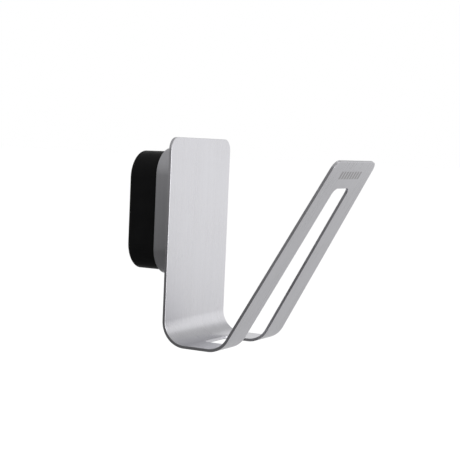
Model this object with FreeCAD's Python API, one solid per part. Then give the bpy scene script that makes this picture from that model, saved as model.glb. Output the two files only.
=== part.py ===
import FreeCAD, Part
import math
import os

# Headphone hook: a bent strap on a cup that slides over a base screwed to the wall.
# Frame: origin at the centre of the wall face, +Z up, the wall towards +Y, the hook towards -Y.

Vector = FreeCAD.Vector
ALONG_X = Vector(1, 0, 0)
ALONG_Y = Vector(0, 1, 0)
ALONG_Z = Vector(0, 0, 1)

# Hook strap
STRAP_WIDTH = 60.0
SHEET = 1.5
PLATE_TOP = 37.4           # above the centre of the wall face
STRAIGHT_DROP = 90.0       # plate top to the start of the first bend
BEND_RADIUS = 11.0         # inside radius of both bends
TROUGH_FLAT = 13.5         # flat floor between the bends
ARM_ANGLE = math.radians(60.5)
ARM_LENGTH = 101.0
TIP_WIDTH = 49.3
PLATE_CORNER = 6.0
TIP_CORNER = 5.0
SLOT_WIDTH = 24.0
SLOT_TOP_WIDTH = 18.4
SLOT_TOP_MARGIN = 14.9     # solid strip left at the arm's tip
SLOT_SETBACK = 12.0        # from the plate's front face to the slot's lower end
SLOT_CORNER = 3.5

# Wall base
BASE_WIDTH = 46.5
BASE_HEIGHT = 60.0
BASE_CORNER = 13.7
GASKET = 1.0
BASE_FLOOR = 5.0
BASE_SHOWN = 16.0          # wall face to the cup's rim
RIM_LAP = 2.0              # full-size band of the base inside the cup
SPIGOT_STEP = 0.75
SPIGOT_LENGTH = 8.0
CAVITY_WIDTH = 41.0
CAVITY_HEIGHT = 54.5
CAVITY_CORNER = 11.0
GUSSET = 1.6
GUSSET_REACH = 2.0
GUSSET_TALL = 14.0
GUSSET_Z = 10.0

# Cup
CUP_SHEET = 1.0
CUP_GAP = 0.5              # between the cup's skirt and the base, below and at the sides
CUP_HEADROOM = 1.1         # the same gap above the base
CUP_DEPTH = 10.0
CUP_CORNER = 12.9
CUP_FLOOR_RADIUS = 2.0

# Plates inside
BACKING_WIDTH = 36.0
BACKING_HEIGHT = 44.0
BACKING_CORNER = 8.0
BACKING_SHEET = 1.5
BRACKET_SHEET = 2.0
BRACKET_WIDTH = 34.0
BRACKET_CORNER = 5.0
BRACKET_BEND = 2.0
LUG_WIDTH = 12.0
LUG_FRONT = -21.5
LUG_UNDERSIDE = -26.4

# Fasteners
STUD_RADIUS = 2.0
STUD_LENGTH = 7.5
STUD_Z = 12.0
STUD_HOLE = 2.25
STUD_CHAMFER = 0.4
WASHER_RADIUS = 4.5
WASHER_THICK = 0.8
NUT_FLATS = 7.0
NUT_HEIGHT = 3.2
THREAD_PLAY = 0.05
WALL_HOLE = 2.5
WALL_HOLE_Z = 17.0
SCREW_X = 12.5
SCREW_Z = 14.0
SCREW_RADIUS = 1.25
SCREW_BITE = 3.6
SCREW_HOLE = 1.5
PILOT_SPARE = 0.65         # depth left under a screw's end
HEAD_RADIUS = 2.5
HEAD_HEIGHT = 1.7
HEAD_ROUND = 0.85
HEAD_SOCKET = 1.5
HEAD_SOCKET_DEPTH = 1.0
GRUB_RADIUS = 2.0
GRUB_LENGTH = 5.0
GRUB_HOLE = 2.15
GRUB_Y = -20.5
GRUB_SOCKET = 2.0
GRUB_SOCKET_DEPTH = 2.2
GRUB_POINT = 0.5
BUSH_RADIUS = 3.5
BUSH_LENGTH = 2.9
NOTCH_WIDTH = 9.0
NOTCH_BACK = -16.8
NOTCH_HEIGHT = 15.0

# Modelling aids
CUT_MARGIN = 3.0           # how far a cutting tool runs past what it cuts
SAME_PLACE = 1e-4          # closer than this is the same level or direction

# Levels from the wall outwards
BASE_BACK = -GASKET
BASE_FLOOR_FRONT = BASE_BACK - BASE_FLOOR
CUP_RIM = -BASE_SHOWN
SPIGOT_FRONT = CUP_RIM - SPIGOT_LENGTH
PLATE_BACK = CUP_RIM - CUP_DEPTH
PLATE_FRONT = PLATE_BACK - SHEET
CUP_FLOOR_INSIDE = PLATE_BACK + CUP_SHEET
BACKING_FACE = CUP_FLOOR_INSIDE + BACKING_SHEET
NUT_SEAT = BACKING_FACE + WASHER_THICK
BRACKET_FACE = BASE_FLOOR_FRONT - BRACKET_SHEET

# The cup is a skin round the base
CUP_INNER_WIDTH = BASE_WIDTH + 2 * CUP_GAP
CUP_INNER_HEIGHT = BASE_HEIGHT + CUP_GAP + CUP_HEADROOM
CUP_MIDDLE = (CUP_HEADROOM - CUP_GAP) / 2
SKIRT_INSIDE = CUP_MIDDLE - CUP_INNER_HEIGHT / 2

# The bracket's flat plate ends where its bend into the lug begins
BRACKET_BOTTOM = LUG_UNDERSIDE + BRACKET_SHEET + BRACKET_BEND

# Strap profile, in the YZ plane
BEND_LEVEL = PLATE_TOP - STRAIGHT_DROP
TROUGH_LEVEL = BEND_LEVEL - BEND_RADIUS
FIRST_BEND_Y = PLATE_FRONT - BEND_RADIUS
SECOND_BEND_Y = FIRST_BEND_Y - TROUGH_FLAT
FIRST_BEND_MIDDLE = math.radians(-45)


def yz(y, z, x=0.0):
    return Vector(x, y, z)


def arm_point(x, along, out=0.0):
    """A point on the arm: across it, up it from the second bend, and out from its inner face."""
    reach = BEND_RADIUS + out
    y = SECOND_BEND_Y - reach * math.sin(ARM_ANGLE) - along * math.cos(ARM_ANGLE)
    z = BEND_LEVEL - reach * math.cos(ARM_ANGLE) + along * math.sin(ARM_ANGLE)
    return Vector(x, y, z)


def arm_prism(outline):
    """A prism through the arm's thickness from corners given as (across, along)."""
    corners = [arm_point(x, along, -CUT_MARGIN) for x, along in outline]
    face = Part.Face(Part.makePolygon(corners + corners[:1]))
    through = arm_point(0, 0, SHEET + CUT_MARGIN) - arm_point(0, 0, -CUT_MARGIN)
    return face.extrude(through)


def edges_along(shape, direction):
    """The straight edges that run along a direction."""
    found = []
    for edge in shape.Edges:
        if isinstance(edge.Curve, (Part.Line, Part.LineSegment)):
            if edge.tangentAt(edge.FirstParameter).cross(direction).Length < SAME_PLACE:
                found.append(edge)
    return found


def edges_at_y(shape, y):
    """The edges that lie in one plane parallel to the wall."""
    found = []
    for edge in shape.Edges:
        box = edge.BoundBox
        if abs(box.YMin - y) < SAME_PLACE and abs(box.YMax - y) < SAME_PLACE:
            found.append(edge)
    return found


def rounded_block(width, height, corner, front, back):
    """A block with rounded corners, centred on the Y axis."""
    block = Part.makeBox(width, back - front, height, Vector(-width / 2, front, -height / 2))
    return block.makeFillet(corner, edges_along(block, ALONG_Y))


def y_cylinder(radius, x, z, front, back):
    return Part.makeCylinder(radius, back - front, Vector(x, front, z), ALONG_Y)


def hexagon_prism(flats, centre, along, length):
    """A hexagonal prism from its width across flats."""
    radius = flats / math.sqrt(3)
    side = Vector(0, 0, 1) if abs(along.z) < 0.5 else Vector(1, 0, 0)
    up = along.cross(side)
    turns = [math.radians(60 * i) for i in range(6)]
    corners = [centre + side * (radius * math.cos(a)) + up * (radius * math.sin(a)) for a in turns]
    return Part.Face(Part.makePolygon(corners + corners[:1])).extrude(along * length)


def bend_middle(y_centre, radius, angle):
    """The point of a bend that lies at an angle from straight down, towards the hook's front."""
    return yz(y_centre - radius * math.sin(angle), BEND_LEVEL - radius * math.cos(angle))


def strap_side():
    """The strap seen edge-on: the front plate, two bends, the trough's floor and the arm."""
    inner = BEND_RADIUS
    outer = BEND_RADIUS + SHEET
    edges = [
        Part.makeLine(yz(PLATE_FRONT, PLATE_TOP), yz(PLATE_FRONT, BEND_LEVEL)),
        Part.Arc(yz(PLATE_FRONT, BEND_LEVEL), bend_middle(FIRST_BEND_Y, inner, FIRST_BEND_MIDDLE),
                 yz(FIRST_BEND_Y, TROUGH_LEVEL)).toShape(),
        Part.makeLine(yz(FIRST_BEND_Y, TROUGH_LEVEL), yz(SECOND_BEND_Y, TROUGH_LEVEL)),
        Part.Arc(yz(SECOND_BEND_Y, TROUGH_LEVEL), bend_middle(SECOND_BEND_Y, inner, ARM_ANGLE / 2),
                 arm_point(0, 0)).toShape(),
        Part.makeLine(arm_point(0, 0), arm_point(0, ARM_LENGTH)),
        Part.makeLine(arm_point(0, ARM_LENGTH), arm_point(0, ARM_LENGTH, SHEET)),
        Part.makeLine(arm_point(0, ARM_LENGTH, SHEET), arm_point(0, 0, SHEET)),
        Part.Arc(arm_point(0, 0, SHEET), bend_middle(SECOND_BEND_Y, outer, ARM_ANGLE / 2),
                 yz(SECOND_BEND_Y, TROUGH_LEVEL - SHEET)).toShape(),
        Part.makeLine(yz(SECOND_BEND_Y, TROUGH_LEVEL - SHEET), yz(FIRST_BEND_Y, TROUGH_LEVEL - SHEET)),
        Part.Arc(yz(FIRST_BEND_Y, TROUGH_LEVEL - SHEET), bend_middle(FIRST_BEND_Y, outer, FIRST_BEND_MIDDLE),
                 yz(PLATE_BACK, BEND_LEVEL)).toShape(),
        Part.makeLine(yz(PLATE_BACK, BEND_LEVEL), yz(PLATE_BACK, PLATE_TOP)),
        Part.makeLine(yz(PLATE_BACK, PLATE_TOP), yz(PLATE_FRONT, PLATE_TOP)),
    ]
    return Part.Face(Part.Wire(edges))


def slot_cutter():
    """The long slot: through the trough's floor, the second bend and most of the arm."""
    half = SLOT_WIDTH / 2
    depth = SHEET + 2 * CUT_MARGIN
    slot_end = PLATE_FRONT - SLOT_SETBACK
    floor = Part.makeBox(SLOT_WIDTH, slot_end - SECOND_BEND_Y, depth,
                         Vector(-half, SECOND_BEND_Y, TROUGH_LEVEL - SHEET - CUT_MARGIN))
    corners = [e for e in edges_along(floor, ALONG_Z) if e.BoundBox.YMin > slot_end - SAME_PLACE]
    floor = floor.makeFillet(SLOT_CORNER, corners)

    low = TROUGH_LEVEL - SHEET - CUT_MARGIN
    high = TROUGH_LEVEL + CUT_MARGIN
    section = [yz(SECOND_BEND_Y, low, -half), yz(SECOND_BEND_Y, low, half),
               yz(SECOND_BEND_Y, high, half), yz(SECOND_BEND_Y, high, -half)]
    face = Part.Face(Part.makePolygon(section + section[:1]))
    bend = face.revolve(yz(SECOND_BEND_Y, BEND_LEVEL), Vector(-1, 0, 0), math.degrees(ARM_ANGLE))

    top = ARM_LENGTH - SLOT_TOP_MARGIN
    arm = arm_prism([(-half, 0), (half, 0), (SLOT_TOP_WIDTH / 2, top), (-SLOT_TOP_WIDTH / 2, top)])
    through = arm_point(0, 0, 1) - arm_point(0, 0)
    level = arm_point(0, top).z - depth
    corners = [e for e in edges_along(arm, through) if e.BoundBox.ZMin > level]
    arm = arm.makeFillet(SLOT_CORNER, corners)
    return floor.fuse([bend, arm])


def hook_strap():
    """One bent sheet, whose arm narrows to its tip and is slotted."""
    half = STRAP_WIDTH / 2
    strap = strap_side().extrude(Vector(STRAP_WIDTH, 0, 0))
    strap.translate(Vector(-half, 0, 0))
    past = ARM_LENGTH + CUT_MARGIN
    past_half = half - (half - TIP_WIDTH / 2) * past / ARM_LENGTH
    for side in (-1, 1):
        wide = side * (half + CUT_MARGIN)
        strap = strap.cut(arm_prism([(side * half, 0), (side * past_half, past), (wide, past), (wide, 0)]))
    strap = strap.cut(slot_cutter())

    plate_corners = [e for e in edges_along(strap, ALONG_Y) if e.BoundBox.ZMin > PLATE_TOP - SAME_PLACE]
    strap = strap.makeFillet(PLATE_CORNER, plate_corners)
    through = arm_point(0, 0, 1) - arm_point(0, 0)
    tip_level = arm_point(0, ARM_LENGTH, SHEET).z - SAME_PLACE
    tip_corners = [e for e in edges_along(strap, through) if e.BoundBox.ZMin > tip_level]
    return strap.makeFillet(TIP_CORNER, tip_corners)


def mount_cup():
    """A drawn cup: its floor lies on the strap's back, and its skirt goes over the base."""
    outer = rounded_block(CUP_INNER_WIDTH + 2 * CUP_SHEET, CUP_INNER_HEIGHT + 2 * CUP_SHEET,
                          CUP_CORNER + CUP_SHEET, PLATE_BACK, CUP_RIM)
    outer = outer.makeFillet(CUP_FLOOR_RADIUS, edges_at_y(outer, PLATE_BACK))
    inner = rounded_block(CUP_INNER_WIDTH, CUP_INNER_HEIGHT, CUP_CORNER, CUP_FLOOR_INSIDE, CUP_RIM)
    inner = inner.makeFillet(CUP_FLOOR_RADIUS - CUP_SHEET, edges_at_y(inner, CUP_FLOOR_INSIDE))
    cup = outer.cut(inner)
    cup.translate(ALONG_Z * CUP_MIDDLE)
    for side in (-1, 1):
        cup = cup.cut(y_cylinder(STUD_HOLE, 0, side * STUD_Z, PLATE_BACK, CUP_FLOOR_INSIDE))
    low = Vector(0, GRUB_Y, SKIRT_INSIDE - CUP_SHEET - CUT_MARGIN)
    return cup.cut(Part.makeCylinder(GRUB_HOLE, CUP_SHEET + 2 * CUT_MARGIN, low, ALONG_Z))


def backing_plate():
    """A flat plate inside the cup that spreads the nuts' pull."""
    plate = rounded_block(BACKING_WIDTH, BACKING_HEIGHT, BACKING_CORNER, CUP_FLOOR_INSIDE, BACKING_FACE)
    for side in (-1, 1):
        plate = plate.cut(y_cylinder(STUD_HOLE, 0, side * STUD_Z, CUP_FLOOR_INSIDE, BACKING_FACE))
    return plate


def weld_studs():
    studs = []
    for side in (-1, 1):
        stud = y_cylinder(STUD_RADIUS, 0, side * STUD_Z, PLATE_BACK, PLATE_BACK + STUD_LENGTH)
        studs.append(stud.makeChamfer(STUD_CHAMFER, edges_at_y(stud, PLATE_BACK + STUD_LENGTH)))
    return Part.makeCompound(studs)


def stud_washers():
    washers = []
    for side in (-1, 1):
        disc = y_cylinder(WASHER_RADIUS, 0, side * STUD_Z, BACKING_FACE, NUT_SEAT)
        washers.append(disc.cut(y_cylinder(STUD_HOLE, 0, side * STUD_Z, BACKING_FACE, NUT_SEAT)))
    return Part.makeCompound(washers)


def stud_nuts():
    """Hexagon nuts with their corners turned off on the outer face."""
    nuts = []
    top = NUT_SEAT + NUT_HEIGHT
    for side in (-1, 1):
        z = side * STUD_Z
        nut = hexagon_prism(NUT_FLATS, Vector(0, NUT_SEAT, z), ALONG_Y, NUT_HEIGHT)
        wide = NUT_FLATS / 2 + NUT_HEIGHT
        turned = Part.makeCone(wide, NUT_FLATS / 2, NUT_HEIGHT, Vector(0, NUT_SEAT, z), ALONG_Y)
        bore = y_cylinder(STUD_RADIUS + THREAD_PLAY, 0, z, NUT_SEAT, top)
        nuts.append(nut.common(turned).cut(bore))
    return Part.makeCompound(nuts)


def grub_bush():
    """A threaded bush welded inside the skirt, where the grub screw goes through."""
    low = Vector(0, GRUB_Y, SKIRT_INSIDE)
    bush = Part.makeCylinder(BUSH_RADIUS, BUSH_LENGTH, low, ALONG_Z)
    return bush.cut(Part.makeCylinder(GRUB_RADIUS + THREAD_PLAY, BUSH_LENGTH, low, ALONG_Z))


def grub_screw():
    """A headless screw with a hexagon socket, whose point meets the bracket's lug."""
    tip = LUG_UNDERSIDE - THREAD_PLAY
    low = Vector(0, GRUB_Y, tip - GRUB_LENGTH)
    body = Part.makeCylinder(GRUB_RADIUS, GRUB_LENGTH - GRUB_POINT, low, ALONG_Z)
    point = Part.makeCone(GRUB_RADIUS, GRUB_RADIUS - GRUB_POINT, GRUB_POINT,
                          Vector(0, GRUB_Y, tip - GRUB_POINT), ALONG_Z)
    socket = hexagon_prism(GRUB_SOCKET, low, ALONG_Z, GRUB_SOCKET_DEPTH)
    return body.fuse(point).cut(socket)


def base_block():
    """A moulded tray, open towards the cup, with its floor against the wall."""
    shown = rounded_block(BASE_WIDTH, BASE_HEIGHT, BASE_CORNER, CUP_RIM - RIM_LAP, BASE_BACK)
    spigot = rounded_block(BASE_WIDTH - 2 * SPIGOT_STEP, BASE_HEIGHT - 2 * SPIGOT_STEP,
                           BASE_CORNER - SPIGOT_STEP, SPIGOT_FRONT, BASE_BACK)
    cavity = rounded_block(CAVITY_WIDTH, CAVITY_HEIGHT, CAVITY_CORNER, SPIGOT_FRONT, BASE_FLOOR_FRONT)
    base = shown.fuse(spigot).cut(cavity)
    notch = Part.makeBox(NOTCH_WIDTH, NOTCH_BACK - SPIGOT_FRONT, NOTCH_HEIGHT,
                         Vector(-NOTCH_WIDTH / 2, SPIGOT_FRONT, -(CAVITY_HEIGHT + NOTCH_HEIGHT) / 2))
    base = base.cut(notch)
    for side in (-1, 1):
        wall = side * CAVITY_WIDTH / 2
        inner = min(wall, wall - side * GUSSET_REACH)
        for z in (-GUSSET_Z, GUSSET_Z):
            base = base.fuse(Part.makeBox(GUSSET_REACH, GUSSET_TALL, GUSSET,
                                          Vector(inner, BASE_FLOOR_FRONT - GUSSET_TALL, z - GUSSET / 2)))
    for side in (-1, 1):
        base = base.cut(y_cylinder(WALL_HOLE, 0, side * WALL_HOLE_Z, BASE_FLOOR_FRONT, BASE_BACK))
    for x, z in screw_places():
        pilot_end = BASE_FLOOR_FRONT + SCREW_BITE + PILOT_SPARE
        base = base.cut(y_cylinder(SCREW_RADIUS + THREAD_PLAY, x, z, BASE_FLOOR_FRONT, pilot_end))
    return base.removeSplitter()


def wall_bracket():
    """A steel plate on the tray's floor, bent forward at the bottom into the lug."""
    height = -2 * BRACKET_BOTTOM
    plate = rounded_block(BRACKET_WIDTH, height, BRACKET_CORNER, BRACKET_FACE, BASE_FLOOR_FRONT)
    half = LUG_WIDTH / 2
    root = [Vector(-half, BRACKET_FACE, BRACKET_BOTTOM), Vector(half, BRACKET_FACE, BRACKET_BOTTOM),
            Vector(half, BASE_FLOOR_FRONT, BRACKET_BOTTOM), Vector(-half, BASE_FLOOR_FRONT, BRACKET_BOTTOM)]
    axis = Vector(0, BRACKET_FACE - BRACKET_BEND, BRACKET_BOTTOM)
    bend = Part.Face(Part.makePolygon(root + root[:1])).revolve(axis, Vector(-1, 0, 0), 90)
    lug = Part.makeBox(LUG_WIDTH, axis.y - LUG_FRONT, BRACKET_SHEET, Vector(-half, LUG_FRONT, LUG_UNDERSIDE))
    plate = plate.fuse([bend, lug])
    for side in (-1, 1):
        plate = plate.cut(y_cylinder(WALL_HOLE, 0, side * WALL_HOLE_Z, BRACKET_FACE, BASE_FLOOR_FRONT))
    for x, z in screw_places():
        plate = plate.cut(y_cylinder(SCREW_HOLE, x, z, BRACKET_FACE, BASE_FLOOR_FRONT))
    return plate.removeSplitter()


def screw_places():
    return [(x, z) for x in (-SCREW_X, SCREW_X) for z in (-SCREW_Z, SCREW_Z)]


def bracket_screws():
    """Pan-head screws that hold the bracket to the tray."""
    screws = []
    for x, z in screw_places():
        head = y_cylinder(HEAD_RADIUS, x, z, BRACKET_FACE - HEAD_HEIGHT, BRACKET_FACE)
        head = head.makeFillet(HEAD_ROUND, edges_at_y(head, BRACKET_FACE - HEAD_HEIGHT))
        socket = hexagon_prism(HEAD_SOCKET, Vector(x, BRACKET_FACE - HEAD_HEIGHT, z), ALONG_Y,
                               HEAD_SOCKET_DEPTH)
        shank = y_cylinder(SCREW_RADIUS, x, z, BRACKET_FACE, BASE_FLOOR_FRONT + SCREW_BITE)
        screws.append(head.cut(socket).fuse(shank))
    return Part.makeCompound(screws)


def wall_gasket():
    """A thin soft sheet between the base and the wall."""
    sheet = rounded_block(BASE_WIDTH, BASE_HEIGHT, BASE_CORNER, BASE_BACK, 0)
    for side in (-1, 1):
        sheet = sheet.cut(y_cylinder(WALL_HOLE, 0, side * WALL_HOLE_Z, BASE_BACK, 0))
    return sheet


def main():
    os.makedirs("parts", exist_ok=True)
    nodes = {
        "hook_strap": hook_strap,
        "mount_cup": mount_cup,
        "backing_plate": backing_plate,
        "weld_studs": weld_studs,
        "stud_washers": stud_washers,
        "stud_nuts": stud_nuts,
        "grub_bush": grub_bush,
        "grub_screw": grub_screw,
        "base_block": base_block,
        "wall_bracket": wall_bracket,
        "bracket_screws": bracket_screws,
        "wall_gasket": wall_gasket,
    }
    for name, build in nodes.items():
        build().exportStep("parts/" + name + ".step")


main()
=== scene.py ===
import math

import bmesh
import bpy
from mathutils import Matrix, Vector


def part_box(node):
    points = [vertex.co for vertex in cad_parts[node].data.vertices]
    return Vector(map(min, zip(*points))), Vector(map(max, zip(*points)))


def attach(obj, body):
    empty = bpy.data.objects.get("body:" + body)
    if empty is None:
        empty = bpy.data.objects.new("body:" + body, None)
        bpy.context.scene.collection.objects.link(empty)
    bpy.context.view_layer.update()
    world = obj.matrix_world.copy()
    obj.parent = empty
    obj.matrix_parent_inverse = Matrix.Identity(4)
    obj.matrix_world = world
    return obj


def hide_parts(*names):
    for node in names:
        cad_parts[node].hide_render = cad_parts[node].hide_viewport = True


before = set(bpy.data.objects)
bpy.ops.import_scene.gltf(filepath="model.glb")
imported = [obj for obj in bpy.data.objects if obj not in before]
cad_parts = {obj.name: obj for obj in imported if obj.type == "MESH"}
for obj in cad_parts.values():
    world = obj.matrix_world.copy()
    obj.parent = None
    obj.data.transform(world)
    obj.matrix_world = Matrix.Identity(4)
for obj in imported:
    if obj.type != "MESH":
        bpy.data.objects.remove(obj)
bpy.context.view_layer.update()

MM = 0.001

# Strap: the same sheet as the CAD node, laid flat as (across, along) and then bent
SHEET = 1.5 * MM
HALF_WIDTH = 30 * MM
DROP = 90 * MM
BEND_RADIUS = 11 * MM
FLAT = 13.5 * MM
ARM_ANGLE = math.radians(60.5)
ARM = 101 * MM
TIP_HALF = 24.65 * MM
PLATE_CORNER = 6 * MM
TIP_CORNER = 5 * MM
SLOT_HALF = 12 * MM
SLOT_TOP_HALF = 9.2 * MM
SLOT_CORNER = 3.5 * MM
SLOT_START = 1.0 * MM           # past the first bend
SLOT_MARGIN = 14.9 * MM         # left solid at the tip
EDGE_ROUND = 0.12 * MM          # how far the sheet's edges are cut back
EDGE_SOFT = 0.03 * MM           # width of the softening at each side of the chamfer

# Etched mark: a row of plain bars
MARK_BARS = 8
MARK_PITCH = 3.2 * MM
MARK_BAR = 1.9 * MM
MARK_HEIGHT = 4.2 * MM
MARK_SKIN = 0.01 * MM           # how far the bars stand above and below the steel's face

# Steps of the strap's mesh
ROUND_STEPS = 3
CORNER_STEPS = 10
BEND_STEPS = 24
PLATE_STEPS = 12
FLOOR_STEPS = 4
ARM_STEPS = 14
TIP_STEPS = 3

# Softened edges of the CAD nodes
WELD_DISTANCE = 0.001 * MM
FLAT_ANGLE = math.radians(0.5)
SHARP_ANGLE = math.radians(40)
BEVEL_STEPS = 2
NORMAL_WEIGHT = 80

strap_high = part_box("hook_strap")[1]
PLATE_FRONT = strap_high.y - SHEET
PLATE_TOP = strap_high.z

BEND_1 = DROP
FLOOR_START = BEND_1 + BEND_RADIUS * math.pi / 2
BEND_2 = FLOOR_START + FLAT
ARM_START = BEND_2 + BEND_RADIUS * ARM_ANGLE
STRAP_END = ARM_START + ARM
SLOT_LOW = FLOOR_START + SLOT_START
SLOT_HIGH = STRAP_END - SLOT_MARGIN
ARM_SLOPE = (HALF_WIDTH - TIP_HALF) / ARM
SLOT_SLOPE = (SLOT_HALF - SLOT_TOP_HALF) / (SLOT_HIGH - ARM_START)


def bent(x, s, out):
    """A point of the flat sheet in its bent place; out is the depth behind the trough's side."""
    y, z = PLATE_FRONT, PLATE_TOP
    if s <= BEND_1:
        return Vector((x, y + out, z - s))
    y, z = y - BEND_RADIUS, z - BEND_1
    reach = BEND_RADIUS + out
    if s <= FLOOR_START:
        a = (s - BEND_1) / BEND_RADIUS
        return Vector((x, y + reach * math.cos(a), z - reach * math.sin(a)))
    if s <= BEND_2:
        return Vector((x, y - (s - FLOOR_START), z - reach))
    y -= FLAT
    a = min((s - BEND_2) / BEND_RADIUS, ARM_ANGLE)
    up = max(s - ARM_START, 0)
    y -= reach * math.sin(a) + up * math.cos(a)
    z -= reach * math.cos(a) - up * math.sin(a)
    return Vector((x, y, z))


def spread(start, end, steps):
    return [start + (end - start) * i / steps for i in range(steps + 1)]


def half_width(s):
    return HALF_WIDTH - ARM_SLOPE * max(s - ARM_START, 0)


def slot_half(s):
    return SLOT_HALF - SLOT_SLOPE * max(s - ARM_START, 0)


class Row:
    """One line across the flat sheet, with four points: columns 0 and 3 on the strap's sides, and
    columns 1 and 2 on the slot's sides, or in line with them where there is no slot. A point on
    the outline moves as the outline is inset."""

    def __init__(self, s, outer=None, inner=None, end=0, slotted=False, inner_x=0.0):
        self.s = s
        self.outer = outer        # (centre x, centre s, radius, angle) on an outer corner
        self.inner = inner        # the same on a corner of the slot
        self.end = end            # -1 on the plate's top edge, 1 on the tip's edge
        self.slotted = slotted
        self.inner_x = inner_x

    def point(self, column, inset):
        side = -1 if column < 2 else 1
        if column in (0, 3):
            if self.outer:
                cx, cs, radius, angle = self.outer
                reach = radius - inset
                along = self.end_sign() * reach * math.sin(angle)
                return side * (cx + reach * math.cos(angle)), cs + along
            return side * (half_width(self.s) - inset), self.s
        if self.inner:
            cx, cs, radius, angle = self.inner
            reach = radius + inset
            along = self.slot_sign() * reach * math.sin(angle)
            return side * (cx + reach * math.cos(angle)), cs + along
        if self.slotted:
            return side * (slot_half(self.s) + inset), self.s
        if self.end:
            return side * self.inner_x, self.s - self.end * inset
        return side * self.inner_x, self.s

    def end_sign(self):
        return -1 if self.s < BEND_1 else 1

    def slot_sign(self):
        return -1 if self.s < ARM_START else 1


def strap_rows():
    """All rows from the plate's top to the arm's tip, at the inset of the flat faces."""
    rows = []
    lean = math.atan(ARM_SLOPE)
    slot_lean = math.atan(SLOT_SLOPE)
    low_x = SLOT_HALF - SLOT_CORNER
    high_centre = SLOT_HIGH - SLOT_CORNER
    high_x = slot_half(high_centre) - SLOT_CORNER / math.cos(slot_lean)

    def inner_x(s):
        share = min(max((s - SLOT_LOW) / (SLOT_HIGH - SLOT_LOW), 0), 1)
        return low_x + (high_x - low_x) * share

    def flat(values, slotted=False):
        for s in values:
            rows.append(Row(s, slotted=slotted, inner_x=inner_x(s)))

    for i, angle in enumerate(spread(math.pi / 2, 0, CORNER_STEPS)):
        corner = (HALF_WIDTH - PLATE_CORNER, PLATE_CORNER, PLATE_CORNER, angle)
        s = PLATE_CORNER - (PLATE_CORNER - EDGE_ROUND) * math.sin(angle)
        rows.append(Row(s if i else 0.0, outer=corner, end=-1 if i == 0 else 0, inner_x=low_x))
    flat(spread(PLATE_CORNER, BEND_1, PLATE_STEPS)[1:])
    flat(spread(BEND_1, FLOOR_START, BEND_STEPS)[1:])
    for i, angle in enumerate(spread(math.pi / 2, 0, CORNER_STEPS)):
        centre = SLOT_LOW + SLOT_CORNER
        s = centre - (SLOT_CORNER + EDGE_ROUND) * math.sin(angle)
        rows.append(Row(s, inner=(low_x, centre, SLOT_CORNER, angle), slotted=True))
    flat(spread(SLOT_LOW + SLOT_CORNER, BEND_2, FLOOR_STEPS)[1:], slotted=True)
    flat(spread(BEND_2, ARM_START, BEND_STEPS)[1:], slotted=True)
    start = SLOT_HIGH - SLOT_CORNER + SLOT_CORNER * math.sin(slot_lean)
    flat(spread(ARM_START, start, ARM_STEPS)[1:-1], slotted=True)
    for angle in spread(slot_lean, math.pi / 2, CORNER_STEPS):
        s = high_centre + (SLOT_CORNER + EDGE_ROUND) * math.sin(angle)
        rows.append(Row(s, inner=(high_x, high_centre, SLOT_CORNER, angle), slotted=True))
    tip_centre = STRAP_END - TIP_CORNER
    tip_x = half_width(tip_centre) - TIP_CORNER / math.cos(lean)
    flat(spread(SLOT_HIGH + EDGE_ROUND, tip_centre, TIP_STEPS)[1:-1])
    for i, angle in enumerate(spread(lean, math.pi / 2, CORNER_STEPS)):
        s = tip_centre + (TIP_CORNER - EDGE_ROUND) * math.sin(angle)
        last = i == CORNER_STEPS
        rows.append(Row(STRAP_END if last else s, outer=(tip_x, tip_centre, TIP_CORNER, angle),
                        end=1 if last else 0, inner_x=high_x))
    return rows


def edge_levels():
    """(inset, depth) steps round the sheet's edge: a softened chamfer on the trough's side, and a
    rounding on the other side."""
    steps = [(EDGE_ROUND, 0), (EDGE_ROUND - EDGE_SOFT, EDGE_SOFT / 2),
             (EDGE_SOFT / 2, EDGE_ROUND - EDGE_SOFT), (0, EDGE_ROUND)]
    for a in spread(math.pi / 2, 0, ROUND_STEPS):
        steps.append((EDGE_ROUND * (1 - math.sin(a)), SHEET - EDGE_ROUND * (1 - math.cos(a))))
    return steps


def new_piece(name, bm):
    mesh = bpy.data.meshes.new(name)
    bmesh.ops.recalc_face_normals(bm, faces=bm.faces)
    bm.to_mesh(mesh)
    bm.free()
    piece = bpy.data.objects.new(name, mesh)
    bpy.context.scene.collection.objects.link(piece)
    return piece


def smooth(piece):
    """Smooth shading that keeps the flat faces flat."""
    for polygon in piece.data.polygons:
        polygon.use_smooth = True
    normals = piece.modifiers.new("face_weighted", "WEIGHTED_NORMAL")
    normals.mode = "FACE_AREA"
    normals.weight = NORMAL_WEIGHT
    normals.keep_sharp = False


def build_strap():
    rows = strap_rows()
    levels = edge_levels()
    last = len(levels) - 1
    bm = bmesh.new()
    made = {}

    def vertex(i, column, level):
        key = (i, column, level)
        if key not in made:
            inset, depth = levels[level]
            x, s = rows[i].point(column, inset)
            made[key] = bm.verts.new(bent(x, s, depth))
        return made[key]

    def quad(a, b, c, d):
        bm.faces.new((vertex(*a), vertex(*b), vertex(*c), vertex(*d)))

    def wall(a, b):
        """The sheet's edge between two neighbouring (row, column) places of the outline."""
        for k in range(last):
            quad((*a, k), (*b, k), (*b, k + 1), (*a, k + 1))

    slotted = [i for i, row in enumerate(rows) if row.slotted]
    low, high, end = slotted[0], slotted[-1], len(rows) - 1
    for i in range(end):
        inside = low <= i < high
        for left in (0, 2) if inside else (0, 1, 2):
            for k in (0, last):
                quad((i, left, k), (i, left + 1, k), (i + 1, left + 1, k), (i + 1, left, k))
        for column in (0, 1, 2, 3) if inside else (0, 3):
            wall((i, column), (i + 1, column))
    for i in (0, end):
        for left in (0, 1, 2):
            wall((i, left), (i, left + 1))
    for i in (low, high):
        wall((i, 1), (i, 2))
    return new_piece("brushed_strap", bm)


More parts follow.
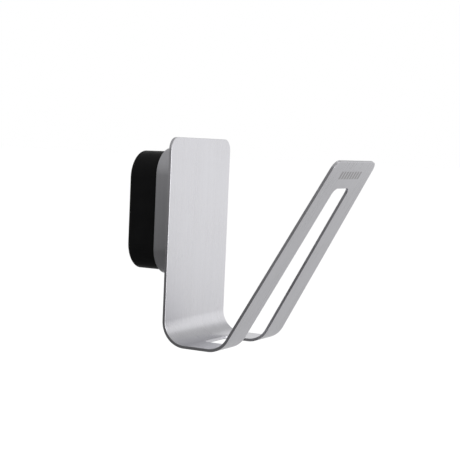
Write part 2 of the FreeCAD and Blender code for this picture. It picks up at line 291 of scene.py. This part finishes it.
def build_mark():
    """A row of etched bars on the arm's outer face, in the middle of the tip's solid strip."""
    bm = bmesh.new()
    middle = (SLOT_HIGH + STRAP_END) / 2
    low, high = middle - MARK_HEIGHT / 2, middle + MARK_HEIGHT / 2
    for i in range(MARK_BARS):
        x = MARK_PITCH * (i - (MARK_BARS - 1) / 2)
        left, right = x - MARK_BAR / 2, x + MARK_BAR / 2
        corners = [(left, low), (right, low), (right, high), (left, high)]
        under = [bm.verts.new(bent(cx, cs, SHEET - MARK_SKIN)) for cx, cs in corners]
        over = [bm.verts.new(bent(cx, cs, SHEET + MARK_SKIN)) for cx, cs in corners]
        bm.faces.new(over)
        bm.faces.new(under)
        for k in range(4):
            bm.faces.new((under[k], under[k - 1], over[k - 1], over[k]))
    return new_piece("etched_mark", bm)


# Materials. Grain densities are in noise cells per metre

X_AXIS, Y_AXIS, Z_AXIS = range(3)
NOISE_LOW = 0.3                 # the noise textures' values lie mostly between these two
NOISE_HIGH = 0.7
FINE_GRAIN = 3600.0             # side by side across the brushing
BROAD_GRAIN = 300.0
GRAIN_LENGTH = 18.0             # the same along the brushing
BROAD_STRETCH = 3
CLOUDS = 45.0
FINE_TONE = 0.30                # each noise's share of the colour's variation
BROAD_TONE = 0.25
CLOUD_TONE = 0.45
FINE_ROUGHNESS = 0.04
CLOUD_ROUGHNESS = 0.02
BRUSHED_STRENGTH = 0.18
BRUSHED_DEPTH = 0.01 * MM
MOULDED_CLOUDS = 90.0
MOULDED_ROUGHNESS = 0.06
MOULDED_SPECULAR = 0.14
MOULDED_STRENGTH = 0.5


def shader(name):
    material = bpy.data.materials.new(name)
    material.use_nodes = True
    nodes = material.node_tree.nodes
    return material, nodes, material.node_tree.links, nodes["Principled BSDF"]


def stretched_noise(nodes, links, stretch, detail):
    """Noise in the object's own coordinates, with its own scale along each axis."""
    place = nodes.new("ShaderNodeTexCoord")
    mapping = nodes.new("ShaderNodeMapping")
    mapping.inputs["Scale"].default_value = stretch
    noise = nodes.new("ShaderNodeTexNoise")
    noise.inputs["Scale"].default_value = 1.0
    noise.inputs["Detail"].default_value = detail
    links.new(place.outputs["Object"], mapping.inputs["Vector"])
    links.new(mapping.outputs["Vector"], noise.inputs["Vector"])
    return noise.outputs["Fac"]


def remap(nodes, links, value, low, high):
    node = nodes.new("ShaderNodeMapRange")
    node.inputs["From Min"].default_value = NOISE_LOW
    node.inputs["From Max"].default_value = NOISE_HIGH
    node.inputs["To Min"].default_value = low
    node.inputs["To Max"].default_value = high
    links.new(value, node.inputs["Value"])
    return node.outputs["Result"]


def total(nodes, links, a, b):
    node = nodes.new("ShaderNodeMath")
    node.operation = "ADD"
    links.new(a, node.inputs[0])
    links.new(b, node.inputs[1])
    return node.outputs[0]


def colour_between(nodes, links, factor, dark, light):
    ramp = nodes.new("ShaderNodeMix")
    ramp.data_type = "RGBA"
    ramp.inputs["A"].default_value = (*dark, 1)
    ramp.inputs["B"].default_value = (*light, 1)
    links.new(factor, ramp.inputs["Factor"])
    return ramp.outputs["Result"]


def bump(nodes, links, height, strength, distance, target):
    node = nodes.new("ShaderNodeBump")
    node.inputs["Strength"].default_value = strength
    node.inputs["Distance"].default_value = distance
    links.new(height, node.inputs["Height"])
    links.new(node.outputs["Normal"], target)


def brushed_metal(name, dark, light, roughness, across):
    """Satin metal. across is the axis that the fine grain lines lie side by side on."""
    material, nodes, links, bsdf = shader(name)

    def grain(density, length):
        return [density if i == across else length for i in range(3)]

    fine = stretched_noise(nodes, links, grain(FINE_GRAIN, GRAIN_LENGTH), detail=4.0)
    broad = stretched_noise(nodes, links, grain(BROAD_GRAIN, GRAIN_LENGTH / BROAD_STRETCH),
                            detail=3.0)
    cloud = stretched_noise(nodes, links, (CLOUDS,) * 3, detail=4.0)
    tone = total(nodes, links, remap(nodes, links, fine, 0, FINE_TONE),
                 remap(nodes, links, broad, 0, BROAD_TONE))
    tone = total(nodes, links, tone, remap(nodes, links, cloud, 0, CLOUD_TONE))
    links.new(colour_between(nodes, links, tone, dark, light), bsdf.inputs["Base Color"])
    rough = total(nodes, links, remap(nodes, links, fine, -FINE_ROUGHNESS, FINE_ROUGHNESS),
                  remap(nodes, links, cloud, roughness - CLOUD_ROUGHNESS,
                        roughness + CLOUD_ROUGHNESS))
    links.new(rough, bsdf.inputs["Roughness"])
    bump(nodes, links, fine, BRUSHED_STRENGTH, BRUSHED_DEPTH, bsdf.inputs["Normal"])
    bsdf.inputs["Metallic"].default_value = 1.0
    return material


def grained_plastic(name, dark, light, roughness, grain, depth):
    """A moulded surface with a fine spark-eroded grain."""
    material, nodes, links, bsdf = shader(name)
    fine = stretched_noise(nodes, links, (grain,) * 3, detail=2.0)
    cloud = stretched_noise(nodes, links, (MOULDED_CLOUDS,) * 3, detail=4.0)
    links.new(colour_between(nodes, links, remap(nodes, links, cloud, 0, 1), dark, light),
              bsdf.inputs["Base Color"])
    rough = remap(nodes, links, cloud, roughness - MOULDED_ROUGHNESS, roughness + MOULDED_ROUGHNESS)
    links.new(rough, bsdf.inputs["Roughness"])
    bsdf.inputs["Specular IOR Level"].default_value = MOULDED_SPECULAR
    bump(nodes, links, fine, MOULDED_STRENGTH, depth, bsdf.inputs["Normal"])
    return material


def paint(piece, material):
    piece.data.materials.clear()
    piece.data.materials.append(material)


def soften(node, width):
    """Rounds a CAD node's sharp edges by a hair, after its flat faces are joined into one each."""
    weld = node.modifiers.new("weld", "WELD")
    weld.merge_threshold = WELD_DISTANCE
    flats = node.modifiers.new("flats", "DECIMATE")
    flats.decimate_type = "DISSOLVE"
    flats.angle_limit = FLAT_ANGLE
    bevel = node.modifiers.new("edge", "BEVEL")
    bevel.width = width
    bevel.segments = BEVEL_STEPS
    bevel.limit_method = "ANGLE"
    bevel.angle_limit = SHARP_ANGLE
    bevel.use_clamp_overlap = True
    smooth(node)


# Each material's darkest colour comes before its lightest
strap_steel = brushed_metal("strap_steel", (0.64, 0.638, 0.665), (0.71, 0.708, 0.74),
                            roughness=0.30, across=X_AXIS)
etched_steel = brushed_metal("etched_steel", (0.40, 0.39, 0.40), (0.47, 0.46, 0.47),
                             roughness=0.42, across=X_AXIS)
cup_steel = brushed_metal("cup_steel", (0.56, 0.558, 0.585), (0.66, 0.658, 0.685),
                          roughness=0.34, across=Y_AXIS)
zinc_plate = brushed_metal("zinc_plate", (0.55, 0.56, 0.57), (0.70, 0.71, 0.73),
                           roughness=0.38, across=Z_AXIS)
grub_steel = brushed_metal("grub_steel", (0.10, 0.10, 0.105), (0.18, 0.18, 0.185),
                           roughness=0.40, across=Z_AXIS)
black_moulding = grained_plastic("black_moulding", (0.0014, 0.0014, 0.0016),
                                 (0.0024, 0.0024, 0.0027), roughness=0.50, grain=3800.0,
                                 depth=0.03 * MM)
gasket_rubber = grained_plastic("gasket_rubber", (0.0025, 0.0025, 0.0026),
                                (0.0045, 0.0045, 0.0046), roughness=0.80, grain=2600.0,
                                depth=0.05 * MM)

strap = build_strap()
smooth(strap)
paint(strap, strap_steel)
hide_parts("hook_strap")
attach(strap, "hook")

mark = build_mark()
paint(mark, etched_steel)
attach(mark, "hook")

# Each CAD node that shows as it is: its material, and how much its sharp edges are rounded
FINISHES = {
    "mount_cup": (cup_steel, 0.3 * MM),
    "backing_plate": (zinc_plate, 0.25 * MM),
    "weld_studs": (zinc_plate, 0),
    "stud_washers": (zinc_plate, 0.12 * MM),
    "stud_nuts": (zinc_plate, 0.12 * MM),
    "grub_bush": (zinc_plate, 0.15 * MM),
    "grub_screw": (grub_steel, 0),
    "base_block": (black_moulding, 0.4 * MM),
    "wall_bracket": (zinc_plate, 0.25 * MM),
    "bracket_screws": (zinc_plate, 0),
    "wall_gasket": (gasket_rubber, 0.2 * MM),
}
for name, (material, edge) in FINISHES.items():
    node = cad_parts[name]
    paint(node, material)
    if edge:
        soften(node, edge)

# Stage: a pale floor, a white surround, and cards that only the metal's reflections see
UP = Vector((0, 0, 1))
FORWARD = Vector((0, -1, 0))    # away from the wall
FLOOR_LEVEL = -0.36
FLOOR_SIZE = 60.0
FLOOR_COLOUR = (0.9, 0.9, 0.9, 1)
FLOOR_ROUGHNESS = 0.9
FLOOR_GLOW = 0.11
WHITE = (1, 1, 1, 1)


def plane(name, size_x, size_y, location, material, facing):
    mesh = bpy.data.meshes.new(name)
    x, y = size_x / 2, size_y / 2
    mesh.from_pydata([(-x, -y, 0), (x, -y, 0), (x, y, 0), (-x, y, 0)], [], [(0, 1, 2, 3)])
    piece = bpy.data.objects.new(name, mesh)
    piece.location = location
    piece.rotation_mode = "QUATERNION"
    piece.rotation_quaternion = facing.to_track_quat("Z", "Y")
    bpy.context.scene.collection.objects.link(piece)
    mesh.materials.append(material)
    return piece


def pale_floor():
    """The ground under the hook. It is left out of the metal's reflections."""
    material, _, _, bsdf = shader("floor_pale")
    bsdf.inputs["Base Color"].default_value = FLOOR_COLOUR
    bsdf.inputs["Roughness"].default_value = FLOOR_ROUGHNESS
    bsdf.inputs["Emission Color"].default_value = WHITE
    bsdf.inputs["Emission Strength"].default_value = FLOOR_GLOW
    floor = plane("floor", FLOOR_SIZE, FLOOR_SIZE, (0, 0, FLOOR_LEVEL), material, UP)
    floor.visible_glossy = False


def card(name, direction, distance, width, height, radiance, facing=None):
    """A panel that shows only in glossy reflections. It faces the object, or the way it is told."""
    toward = Vector(direction).normalized()
    if facing is None:
        facing = -toward
    material = bpy.data.materials.new(name)
    material.use_nodes = True
    nodes = material.node_tree.nodes
    glow = nodes.new("ShaderNodeEmission")
    glow.inputs["Strength"].default_value = radiance
    material.node_tree.links.new(glow.outputs[0], nodes["Material Output"].inputs["Surface"])
    panel = plane(name, width, height, toward * distance, material, facing)
    panel.visible_camera = False
    panel.visible_diffuse = False
    panel.visible_shadow = False
    panel.visible_transmission = False
    return panel


def grade(panel, low, high, radiance_low, radiance_high):
    """Makes a card's light change between two levels, measured from the card's middle."""
    nodes = panel.data.materials[0].node_tree.nodes
    links = panel.data.materials[0].node_tree.links
    place = nodes.new("ShaderNodeTexCoord")
    split = nodes.new("ShaderNodeSeparateXYZ")
    ramp = nodes.new("ShaderNodeMapRange")
    ramp.inputs["From Min"].default_value = low
    ramp.inputs["From Max"].default_value = high
    ramp.inputs["To Min"].default_value = radiance_low
    ramp.inputs["To Max"].default_value = radiance_high
    links.new(place.outputs["Object"], split.inputs["Vector"])
    links.new(split.outputs["Y"], ramp.inputs["Value"])
    links.new(ramp.outputs["Result"], nodes["Emission"].inputs["Strength"])


def softbox(name, direction, distance, size, power):
    toward = Vector(direction).normalized()
    light = bpy.data.lights.new(name, "AREA")
    light.shape = "SQUARE"
    light.size = size
    light.energy = power
    lamp = bpy.data.objects.new(name, light)
    lamp.location = toward * distance
    lamp.rotation_mode = "QUATERNION"
    lamp.rotation_quaternion = toward.to_track_quat("Z", "Y")
    bpy.context.scene.collection.objects.link(lamp)


pale_floor()

# Each card: its direction from the hook, its distance, width, height and radiance
card("grey_card_below", (0, 0, -1), 0.35, 6.0, 6.0, 0.57)
card("grey_card_above", (0, 0, 1), 1.2, 4.0, 4.0, 0.42)
card("grey_card_high_right", (0.85, -0.20, 0.62), 1.0, 1.8, 0.7, 0.37)
white = card("white_card_right", (0.87, -0.49, 0.05), 0.8, 0.9, 0.50, 1.00)
grade(white, -0.22, -0.12, 0.88, 1.00)
card("soft_card_right", (0.80, -0.25, 0.43), 0.93, 0.9, 0.22, 0.56)
card("wall_card_right", (0.80, 0.40, -0.1), 0.90, 1.0, 1.5, 0.85)
card("wall_card_top", (-0.05, 0.60, 0.85), 0.9, 1.6, 0.7, 0.40)
left_wall = card("wall_card_left", (-0.97, 0.24, 0), 0.206, 0.36, 0.6, 0.14, facing=FORWARD)
grade(left_wall, -0.05, 0.12, 0.09, 0.42)
card("dark_card_left", (-0.75, 0.30, -0.1), 0.75, 1.3, 1.5, 0.16)
card("wall_card_low", (-0.30, 0.42, -0.78), 0.25, 0.8, 0.30, 0.10)

# Each softbox: its direction from the hook, its distance, size and power
softbox("key", (-0.45, -0.86, 0.12), 1.3, 0.8, 5.0)
softbox("top", (0.2, -0.3, 1.0), 1.3, 1.0, 3.0)

world = bpy.data.worlds.new("studio")
world.use_nodes = True
world.node_tree.nodes["Background"].inputs["Color"].default_value = WHITE
world.node_tree.nodes["Background"].inputs["Strength"].default_value = 1.0
bpy.context.scene.world = world
bpy.context.scene.view_settings.view_transform = "Standard"
bpy.context.scene.view_settings.look = "None"

# Camera: a long lens to the hook's left, a little above it
CAMERA_PLACE = Vector((-0.5334, -0.3302, 0.0349))
CAMERA_HEADING = math.radians(61.9)     # turned right from facing the wall
CAMERA_PITCH = math.radians(-4.05)
CAMERA_ROLL = math.radians(2.47)
CAMERA_LENS = 94.47
CAMERA_SENSOR = 36.0
NEAREST_SEEN = 0.01
FARTHEST_SEEN = 200.0

ahead = Vector((math.sin(CAMERA_HEADING) * math.cos(CAMERA_PITCH),
                math.cos(CAMERA_HEADING) * math.cos(CAMERA_PITCH), math.sin(CAMERA_PITCH)))
level = Vector((math.cos(CAMERA_HEADING), -math.sin(CAMERA_HEADING), 0))
upright = level.cross(ahead)
right = level * math.cos(CAMERA_ROLL) + upright * math.sin(CAMERA_ROLL)
up = upright * math.cos(CAMERA_ROLL) - level * math.sin(CAMERA_ROLL)
camera_data = bpy.data.cameras.new("camera")
camera_data.lens = CAMERA_LENS
camera_data.sensor_width = CAMERA_SENSOR
camera_data.clip_start = NEAREST_SEEN
camera_data.clip_end = FARTHEST_SEEN
camera = bpy.data.objects.new("camera", camera_data)
turned = Matrix((right, up, -ahead)).transposed().to_4x4()
camera.matrix_world = Matrix.Translation(CAMERA_PLACE) @ turned
bpy.context.scene.collection.objects.link(camera)
bpy.context.scene.camera = camera
